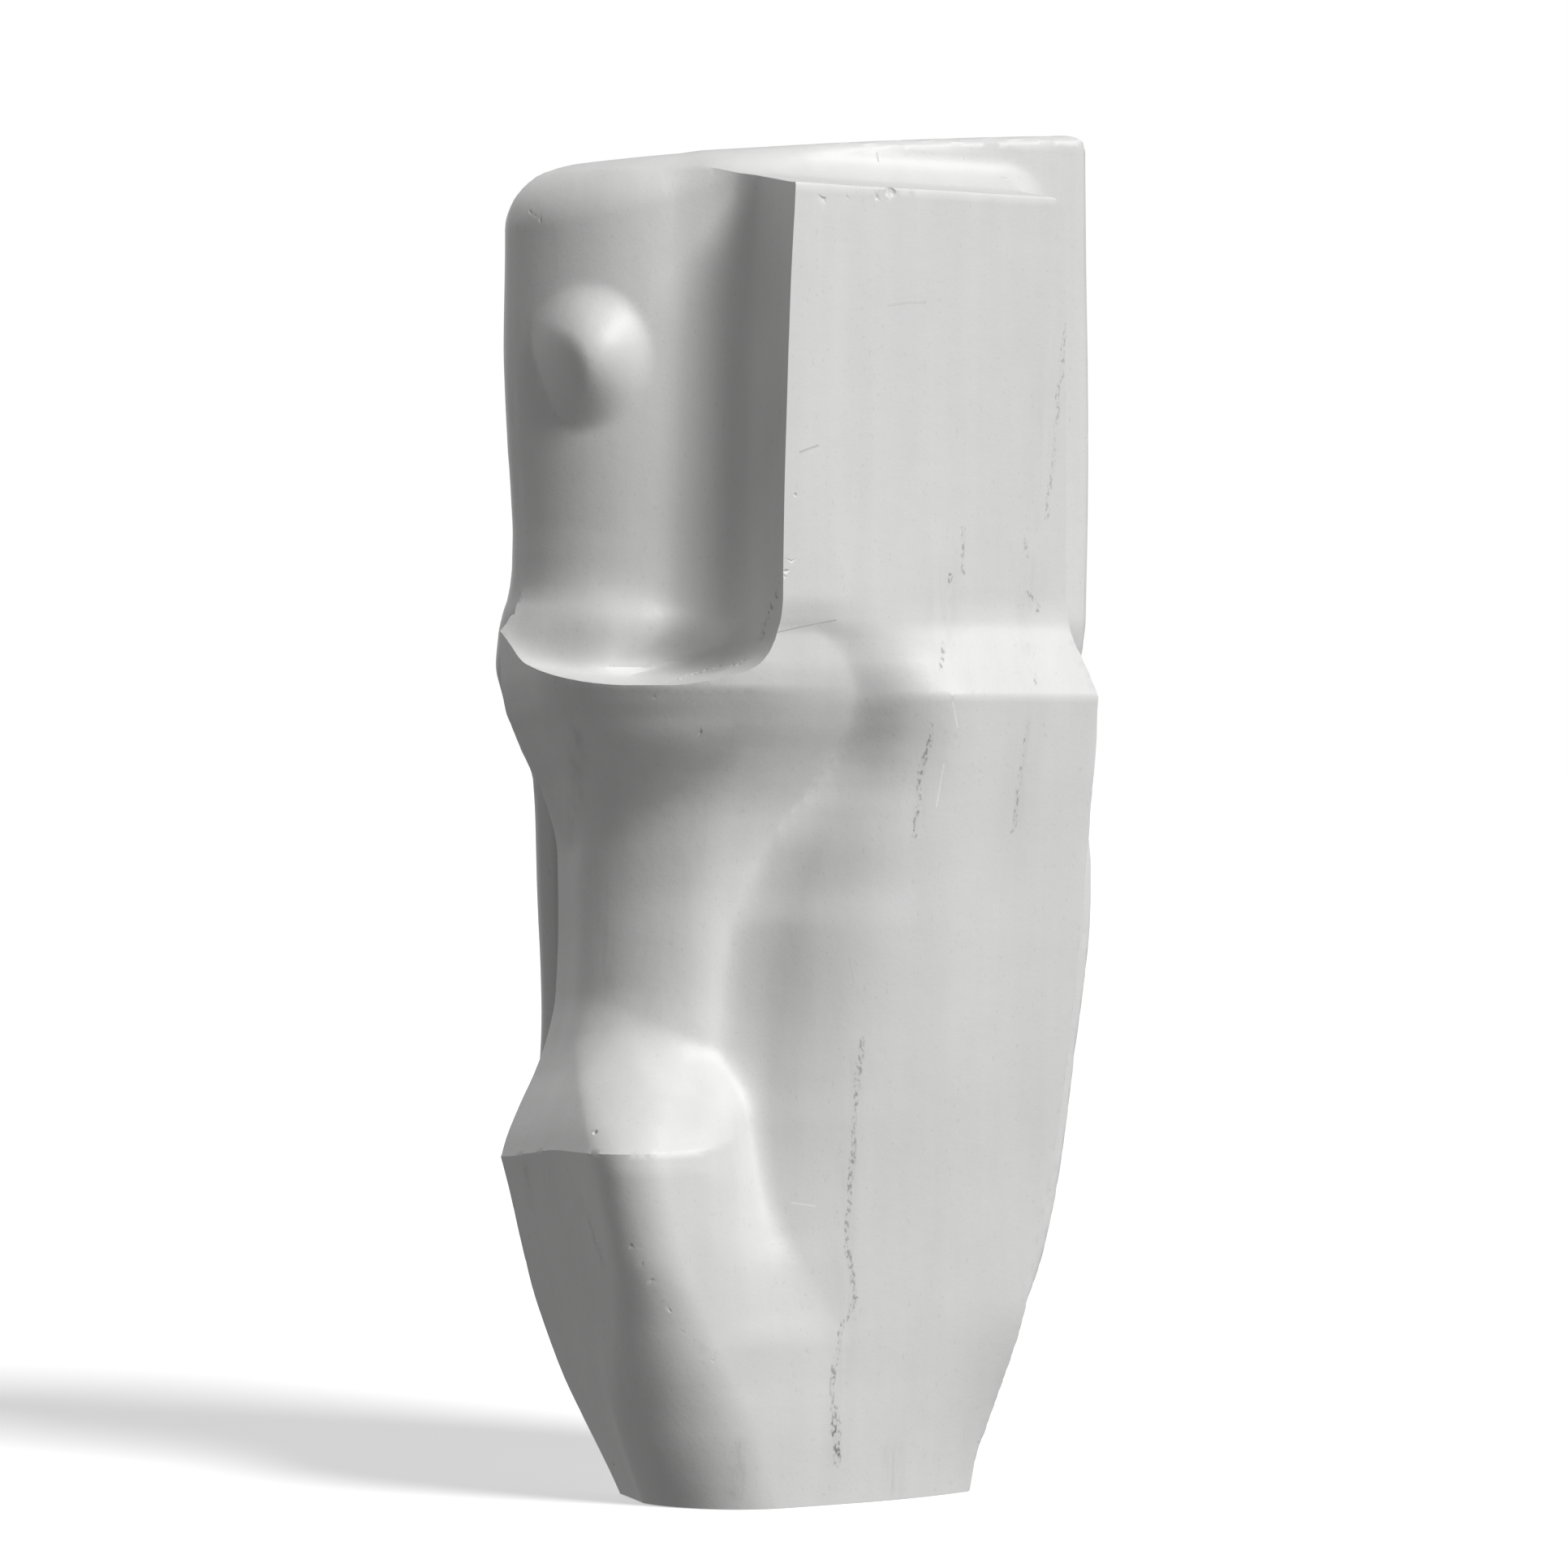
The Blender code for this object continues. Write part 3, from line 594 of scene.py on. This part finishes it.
def place_chips():
    """Centres, radii and reach of the spheres that scoop the chips out of the stone."""
    rng = np.random.default_rng(CHIP_SEED)
    single = CHIPS + UNSEEN_CHIPS
    places = [chip[:2] for chip in single]
    wide = [chip[2] for chip in single]
    deep = [chip[3] for chip in single]
    for start, end, count, half_width, depth in CHIP_ROWS:
        for k in range(count):
            t = (k + rng.uniform(*CHIP_PLACE_SHARE)) / count
            jitter = rng.uniform(-CHIP_JITTER, CHIP_JITTER, 2)
            places.append((start[0] + (end[0] - start[0]) * t + jitter[0],
                           start[1] + (end[1] - start[1]) * t + jitter[1]))
            size = rng.uniform(*CHIP_SIZES)
            wide.append(half_width * size)
            deep.append(depth * size)
    spots = on_stone(places)
    good = ~np.isnan(spots[:, 0])
    spots = spots[good]
    wide = np.array(wide)[good]
    deep = np.array(deep)[good]
    out = normals(stone, spots, 1.0)
    radius = (wide ** 2 + deep ** 2) / (2.0 * deep)
    return spots + out * (radius - deep)[:, None], radius, spots, wide


def ripple(points, wavelength, seed):
    """Smooth unevenness between about -1 and 1, from a few crossing waves."""
    rng = np.random.default_rng(seed)
    total = np.zeros(len(points))
    for k in range(WAVE_COUNT):
        heading = rng.normal(size=3)
        heading *= 2.0 * math.pi / (wavelength * rng.uniform(*WAVE_SPREAD) * np.linalg.norm(heading))
        total += np.sin(points @ heading + rng.uniform(0.0, WAVE_PHASE))
    return total / WAVE_SHARE


def worn_surface(points, chips):
    """Points set on the stone with its chips taken out."""
    centres, radii = chips[:2]

    def field(x, y, z):
        at = np.stack([x, y, z], axis=1)
        value = stone(x, y, z)
        rough = CHIP_ROUGH * ripple(at, CHIP_ROUGH_WAVE, CHIP_ROUGH_SEED)
        for centre, radius in zip(centres, radii):
            scoop = np.linalg.norm(at - centre, axis=1) - radius
            value = np.maximum(value, -(scoop + rough))
        return value

    for turn in range(SETTLE_TURNS):
        slope = np.empty_like(points)
        for axis in range(3):
            shift = np.zeros(3)
            shift[axis] = SETTLE_SHIFT
            change = field(*(points + shift).T) - field(*(points - shift).T)
            slope[:, axis] = change / (2.0 * SETTLE_SHIFT)
        steep = np.maximum((slope ** 2).sum(axis=1), SETTLE_LEAST_SLOPE)
        step = (field(*points.T) / steep)[:, None] * slope
        points = points - np.clip(step, -SETTLE_LONGEST, SETTLE_LONGEST)
    return points


def near_chips(points, spots, wide):
    """Which points lie close enough to a chip to be made finer."""
    near = np.zeros(len(points), dtype=bool)
    for spot, width in zip(spots, wide):
        gap = np.linalg.norm(points - spot, axis=1)
        near |= gap < width * CHIP_REACH + CHIP_REACH_MORE
    return near


def refine_chips(mesh, chips):
    """Split the faces around each chip finely, and scoop the chips out."""
    spots, wide = chips[2:]
    bm = bmesh.new()
    bm.from_mesh(mesh)
    for longest in CHIP_EDGES:
        near = near_chips(np.array([v.co for v in bm.verts]), spots, wide)
        bm.verts.ensure_lookup_table()
        edges = [e for e in bm.edges
                 if near[e.verts[0].index] and near[e.verts[1].index] and e.calc_length() > longest]
        bmesh.ops.subdivide_edges(bm, edges=edges, cuts=1, use_grid_fill=True)
        bmesh.ops.triangulate(bm, faces=[f for f in bm.faces if len(f.verts) > 3])
        bm.verts.index_update()
    co = np.array([v.co for v in bm.verts])
    near = near_chips(co, spots, wide) & (co[:, 2] > CHIP_LIFT)
    co[near] = worn_surface(co[near], chips)
    for vert, place in zip(bm.verts, co):
        vert.co = place
    bm.to_mesh(mesh)
    bm.free()


def to_frame(points):
    """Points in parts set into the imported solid's own box, in metres."""
    low = np.array(CAD_BOX[0])
    high = np.array(CAD_BOX[1])
    size = points.max(axis=0) - points.min(axis=0)
    scale = (high[2] - low[2]) / size[2]
    middle = (points.min(axis=0) + points.max(axis=0)) * 0.5
    origin = np.array([middle[0], middle[1], points[:, 2].min()])
    placed = (points - origin) * scale
    placed[:, :2] += (low[:2] + high[:2]) * 0.5
    placed[:, 2] += low[2]
    return np.clip(placed, low, high), origin, scale


def make_surface():
    """The carved surface as a mesh object, with the scale and origin that set it in place."""
    low, high = limits()
    points, quads = contour(stone, low, high, FINE_CELL)
    faces = split_quads(stone, points, quads)
    points[np.abs(points[:, 2]) < UNDERSIDE_SNAP, 2] = 0.0
    mesh = bpy.data.meshes.new("marble_torso")
    mesh.from_pydata(points.tolist(), [], faces.tolist())
    refine_chips(mesh, place_chips())
    co = np.empty(len(mesh.vertices) * 3)
    mesh.vertices.foreach_get("co", co)
    placed, origin, scale = to_frame(co.reshape(-1, 3))
    mesh.vertices.foreach_set("co", placed.ravel())
    mesh.update()
    mesh.shade_smooth()
    mesh.set_sharp_from_angle(angle=SHARP_ANGLE)
    torso = bpy.data.objects.new("marble_torso", mesh)
    bpy.context.collection.objects.link(torso)
    return torso, origin, scale


class Graph:
    """Short calls that add shader nodes to a material and join them."""

    def __init__(self, material):
        material.use_nodes = True
        self.tree = material.node_tree
        self.shader = self.tree.nodes["Principled BSDF"]

    def add(self, kind, inputs=(), **settings):
        node = self.tree.nodes.new(kind)
        for name, value in settings.items():
            setattr(node, name, value)
        for key, value in dict(inputs).items():
            self.put(node.inputs[key], value)
        return node

    def put(self, socket, value):
        if isinstance(value, bpy.types.NodeSocket):
            self.tree.links.new(value, socket)
        else:
            socket.default_value = value

    def math(self, operation, *values):
        node = self.add("ShaderNodeMath", operation=operation)
        for k, value in enumerate(values):
            self.put(node.inputs[k], value)
        return node.outputs[0]

    def noise(self, vector, scale, detail=3.0, rough=0.55):
        inputs = {"Vector": vector, "Scale": scale, "Detail": detail, "Roughness": rough}
        return self.add("ShaderNodeTexNoise", inputs).outputs["Fac"]

    def stretched(self, vector, scales):
        inputs = {"Vector": vector, "Scale": scales}
        return self.add("ShaderNodeMapping", inputs).outputs["Vector"]

    def band(self, value, low, high, dark, light):
        inputs = {"Value": value, "From Min": low, "From Max": high, "To Min": dark, "To Max": light}
        return self.add("ShaderNodeMapRange", inputs).outputs["Result"]


# Thin grey veins, as photo places from top to bottom, half width in parts, darkness and dot share
VEINS = [([(1313, 400), (1301, 520), (1290, 640)], 0.8, 0.30, 0.53),
         ([(1172, 709), (1162, 819), (1145, 911), (1132, 975), (1126, 1030)], 0.9, 0.46, 0.53),
         ([(1264, 730), (1279, 746), (1276, 838), (1263, 917), (1247, 1027)], 0.8, 0.38, 0.54),
         ([(1187, 650), (1187, 705)], 0.8, 0.36, 0.52),
         ([(1265, 650), (1265, 685)], 0.7, 0.32, 0.52),
         ([(1062, 1277), (1057, 1340), (1050, 1430), (1043, 1535), (1056, 1601), (1038, 1632),
           (1024, 1710), (1030, 1790)], 0.9, 0.42, 0.52),
         ([(1030, 1740), (1030, 1800)], 1.8, 0.36, 0.54),
         ([(1080, 182), (1083, 198)], 0.4, 0.30, 0.3)]

# Greyer streaky places, roughly where the photo is streaky, as photo places from top to bottom,
# half width in parts and darkness
STAINS = [([(712, 905), (704, 1035)], 9.0, 0.16), ([(735, 1080), (752, 1220)], 9.0, 0.09),
          ([(910, 1780), (906, 1838)], 6.0, 0.22), ([(1100, 1790), (1102, 1835)], 9.0, 0.18),
          ([(1168, 700), (1135, 1000)], 13.0, 0.09), ([(1270, 700), (1252, 1000)], 12.0, 0.08),
          ([(1055, 1300), (1030, 1790)], 10.0, 0.08), ([(647, 1441), (655, 1485)], 4.0, 0.20),
          ([(714, 1472), (744, 1557)], 3.0, 0.16), ([(860, 1010), (800, 1240)], 14.0, 0.06),
          ([(1290, 420), (1275, 640)], 9.0, 0.06)]

# Cracks and bright scratches, as photo places, half width in parts and how much they change. The
# last and faintest of the cracks is not in the photo.
CRACKS = [([(958, 779), (985, 773), (1030, 764)], 0.28, 0.30),
          ([(986, 557), (996, 553), (1008, 549)], 0.5, 0.22),
          ([(1094, 377), (1117, 373), (1140, 373)], 0.6, 0.07),
          ([(1046, 1182), (1052, 1210)], 0.4, 0.05)]
SCRATCHES = [([(1174, 865), (1180, 896)], 0.35, 0.16), ([(1163, 942), (1154, 994)], 0.35, 0.16),
             ([(735, 1528), (776, 1538)], 0.35, 0.20), ([(976, 1482), (1004, 1486)], 0.35, 0.16)]

MARBLE_COLOUR = (0.80, 0.80, 0.795, 1.0)
MARBLE_ROUGHNESS = 0.47
WANDER = 0.006                      # metres by which a vein strays from its line
GRAIN_HEIGHT = 0.00010              # metres
WAVE_HEIGHT = 0.0007                # metres
BUMP_STRENGTH = 0.5


def chains(lines, origin, scale):
    """Photo lines laid on the stone, as lists of points in metres in the model's frame."""
    laid = []
    for line in lines:
        spots = on_stone(line)
        spots = spots[~np.isnan(spots[:, 0])]
        laid.append((spots - origin) * scale + np.array(plan_shift()))
    return laid


def plan_shift():
    """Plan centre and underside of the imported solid."""
    low, high = CAD_BOX
    return ((low[0] + high[0]) * 0.5, (low[1] + high[1]) * 0.5, low[2])


def line_distance(graph, place, start, end):
    """Shader distance from the surface to the straight line between two points."""
    start = Vector(start)
    along = Vector(end) - start
    offset = graph.add("ShaderNodeVectorMath", {0: place, 1: start}, operation="SUBTRACT").outputs[0]
    dot = graph.add("ShaderNodeVectorMath", {0: offset, 1: along}, operation="DOT_PRODUCT")
    share = graph.math("DIVIDE", dot.outputs["Value"], along.length_squared)
    share = graph.math("MINIMUM", graph.math("MAXIMUM", share, 0.0), 1.0)
    foot = graph.add("ShaderNodeVectorMath", {0: tuple(along)}, operation="SCALE")
    graph.put(foot.inputs["Scale"], share)
    gap = graph.add("ShaderNodeVectorMath", {0: offset, 1: foot.outputs[0]}, operation="DISTANCE")
    return gap.outputs["Value"]


def chain_distance(graph, place, points):
    """Shader distance to the nearest stretch of a chain of points."""
    near = None
    for start, end in zip(points[:-1], points[1:]):
        gap = line_distance(graph, place, start, end)
        near = gap if near is None else graph.math("MINIMUM", near, gap)
    return near


def marble(origin, scale):
    """White marble: faint clouds and upright streaks, dotted grey veins, cracks and scratches."""
    material = bpy.data.materials.new("white_marble")
    graph = Graph(material)
    place = graph.add("ShaderNodeTexCoord").outputs["Object"]
    wander = graph.add("ShaderNodeTexNoise", {"Vector": place, "Scale": 60.0, "Detail": 2.0})
    shift = graph.add("ShaderNodeVectorMath", {0: wander.outputs["Color"], 1: (0.5, 0.5, 0.5)},
                      operation="SUBTRACT").outputs[0]
    shift = graph.add("ShaderNodeVectorMath", {0: shift}, operation="SCALE")
    shift.inputs["Scale"].default_value = WANDER
    bent = graph.add("ShaderNodeVectorMath", {0: place, 1: shift.outputs[0]}, operation="ADD").outputs[0]

    tone = graph.band(graph.noise(place, 7.0, 4.0), 0.3, 0.7, 0.955, 1.01)
    streak = graph.noise(graph.stretched(place, (70.0, 70.0, 5.0)), 1.0, 3.0)
    tone = graph.math("MULTIPLY", tone, graph.band(streak, 0.35, 0.7, 1.0, 0.965))
    broad = graph.noise(graph.stretched(place, (22.0, 22.0, 6.0)), 1.0, 4.0)
    tone = graph.math("MULTIPLY", tone, graph.band(broad, 0.35, 0.65, 1.0, 0.965))
    speck = graph.noise(graph.stretched(place, (1.0, 1.0, 0.55)), 520.0, 1.0)
    tone = graph.math("MULTIPLY", tone, graph.band(speck, 0.66, 0.76, 1.0, 0.93))

    lines = graph.noise(graph.stretched(place, (260.0, 260.0, 28.0)), 1.0, 4.0)
    for (line, width, dark), points in zip(STAINS, chains([v[0] for v in STAINS], origin, scale)):
        gap = chain_distance(graph, bent, points)
        core = graph.band(gap, 0.0, width * scale, 1.0, 0.0)
        drawn = graph.math("MULTIPLY", core, graph.band(lines, 0.42, 0.68, 0.15, 1.0))
        cut = graph.math("MULTIPLY", drawn, dark)
        tone = graph.math("MULTIPLY", tone, graph.math("SUBTRACT", 1.0, cut))

    dots = graph.noise(graph.stretched(place, (1.0, 1.0, 0.6)), 620.0, 1.0)
    for (line, width, dark, share), points in zip(VEINS, chains([v[0] for v in VEINS], origin, scale)):
        gap = chain_distance(graph, bent, points)
        core = graph.band(gap, width * scale, width * scale * 2.2, 1.0, 0.0)
        broken = graph.band(dots, share - 0.04, share + 0.10, 0.08, 1.0)
        cut = graph.math("MULTIPLY", graph.math("MULTIPLY", core, broken), dark)
        tone = graph.math("MULTIPLY", tone, graph.math("SUBTRACT", 1.0, cut))
    for (line, width, dark), points in zip(CRACKS, chains([c[0] for c in CRACKS], origin, scale)):
        gap = chain_distance(graph, place, points)
        core = graph.band(gap, width * scale * 0.6, width * scale * 1.6, dark, 0.0)
        tone = graph.math("MULTIPLY", tone, graph.math("SUBTRACT", 1.0, core))
    for (line, width, light), points in zip(SCRATCHES, chains([c[0] for c in SCRATCHES], origin, scale)):
        gap = chain_distance(graph, place, points)
        core = graph.band(gap, width * scale * 0.6, width * scale * 1.6, light, 0.0)
        tone = graph.math("MULTIPLY", tone, graph.math("ADD", 1.0, core))

    colour = graph.add("ShaderNodeMix", {"Factor": 1.0, 6: MARBLE_COLOUR}, data_type="RGBA",
                       blend_type="MULTIPLY")
    grey = graph.add("ShaderNodeCombineColor", {"Red": tone, "Green": tone, "Blue": tone})
    graph.put(colour.inputs[7], grey.outputs[0])
    graph.put(graph.shader.inputs["Base Color"], colour.outputs[2])
    graph.shader.inputs["Roughness"].default_value = MARBLE_ROUGHNESS
    graph.shader.inputs["Metallic"].default_value = 0.0

    grain = graph.noise(place, 650.0, 2.0)
    wave = graph.noise(place, 38.0, 3.0)
    fine = graph.math("MULTIPLY", grain, GRAIN_HEIGHT)
    height = graph.math("ADD", fine, graph.math("MULTIPLY", wave, WAVE_HEIGHT))
    bump = graph.add("ShaderNodeBump", {"Height": height, "Strength": BUMP_STRENGTH, "Distance": 1.0})
    graph.put(graph.shader.inputs["Normal"], bump.outputs["Normal"])
    return material


# Studio: a pale floor, a broad soft key at the right, a weak light behind and a white surround
FLOOR_SIDE = 400.0
FLOOR_COLOUR = (0.92, 0.92, 0.92, 1.0)
FLOOR_GLOW = 0.38
KEY_TURN = 50.0
KEY_RISE = 39.0
KEY_SPREAD = 22.0
KEY_STRENGTH = 2.85
FILL_TURN = -135.0
FILL_RISE = 24.0
FILL_SPREAD = 60.0
FILL_STRENGTH = 0.75
SURROUND_LIGHT = 0.19
SURROUND_SEEN = 1.0
WHITE = (1.0, 1.0, 1.0, 1.0)


def make_floor():
    """A wide pale floor under the stone, no part of it."""
    half = FLOOR_SIDE * 0.5
    corners = [(-half, -half, 0.0), (half, -half, 0.0), (half, half, 0.0), (-half, half, 0.0)]
    mesh = bpy.data.meshes.new("floor")
    mesh.from_pydata(corners, [], [(0, 1, 2, 3)])
    floor = bpy.data.objects.new("floor", mesh)
    floor.location.z = CAD_BOX[0][2] - 0.0003
    floor.visible_diffuse = False
    floor.visible_glossy = False
    bpy.context.collection.objects.link(floor)
    material = bpy.data.materials.new("pale_floor")
    graph = Graph(material)
    graph.shader.inputs["Base Color"].default_value = FLOOR_COLOUR
    graph.shader.inputs["Roughness"].default_value = 0.9
    graph.shader.inputs["Specular IOR Level"].default_value = 0.1
    graph.shader.inputs["Emission Color"].default_value = WHITE
    graph.shader.inputs["Emission Strength"].default_value = FLOOR_GLOW
    mesh.materials.append(material)


def make_light(name, turn, rise, spread, strength):
    """A far soft light, turned to the camera's right from behind it and raised, in degrees."""
    right, away = view_axes()
    turn = math.radians(turn)
    rise = math.radians(rise)
    level = Vector(right * math.sin(turn) - away * math.cos(turn)) * math.cos(rise)
    towards = level + Vector((0.0, 0.0, math.sin(rise)))
    light = bpy.data.lights.new(name, "SUN")
    light.angle = math.radians(spread)
    light.energy = strength
    lamp = bpy.data.objects.new(name, light)
    lamp.location = towards
    lamp.rotation_euler = (-towards).to_track_quat("-Z", "Y").to_euler()
    bpy.context.collection.objects.link(lamp)


def make_surround():
    """Even white surround: seen as plain white, and lighting the stone softly."""
    world = bpy.data.worlds.new("surround")
    world.use_nodes = True
    nodes = world.node_tree.nodes
    soft = nodes["Background"]
    soft.inputs["Color"].default_value = WHITE
    soft.inputs["Strength"].default_value = SURROUND_LIGHT
    seen = nodes.new("ShaderNodeBackground")
    seen.inputs["Color"].default_value = WHITE
    seen.inputs["Strength"].default_value = SURROUND_SEEN
    path = nodes.new("ShaderNodeLightPath")
    mix = nodes.new("ShaderNodeMixShader")
    links = world.node_tree.links
    links.new(path.outputs["Is Camera Ray"], mix.inputs[0])
    links.new(soft.outputs[0], mix.inputs[1])
    links.new(seen.outputs[0], mix.inputs[2])
    links.new(mix.outputs[0], nodes["World Output"].inputs["Surface"])
    bpy.context.scene.world = world


def make_camera(origin, scale):
    """Camera at the photograph's angle, a level view from a good way off."""
    right, away = view_axes()
    eye = -VIEW_DISTANCE * away + np.array([0.0, 0.0, EYE_Z])
    data = bpy.data.cameras.new("camera")
    data.sensor_width = SENSOR
    data.lens = FOCAL / PHOTO_SIDE * SENSOR
    data.shift_y = (HORIZON_Y - PHOTO_SIDE * 0.5) / PHOTO_SIDE
    data.clip_end = 100.0
    camera = bpy.data.objects.new("camera", data)
    camera.location = Vector((eye - origin) * scale + np.array(plan_shift()))
    camera.rotation_euler = (math.radians(90.0), 0.0, -VIEW_TURN)
    bpy.context.collection.objects.link(camera)
    bpy.context.scene.camera = camera


torso, origin, scale = make_surface()
torso.data.materials.append(marble(origin, scale))
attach(torso, "root")
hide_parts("torso")
make_floor()
make_light("key", KEY_TURN, KEY_RISE, KEY_SPREAD, KEY_STRENGTH)
make_light("fill", FILL_TURN, FILL_RISE, FILL_SPREAD, FILL_STRENGTH)
make_surround()
make_camera(origin, scale)
bpy.context.scene.view_settings.view_transform = "Standard"
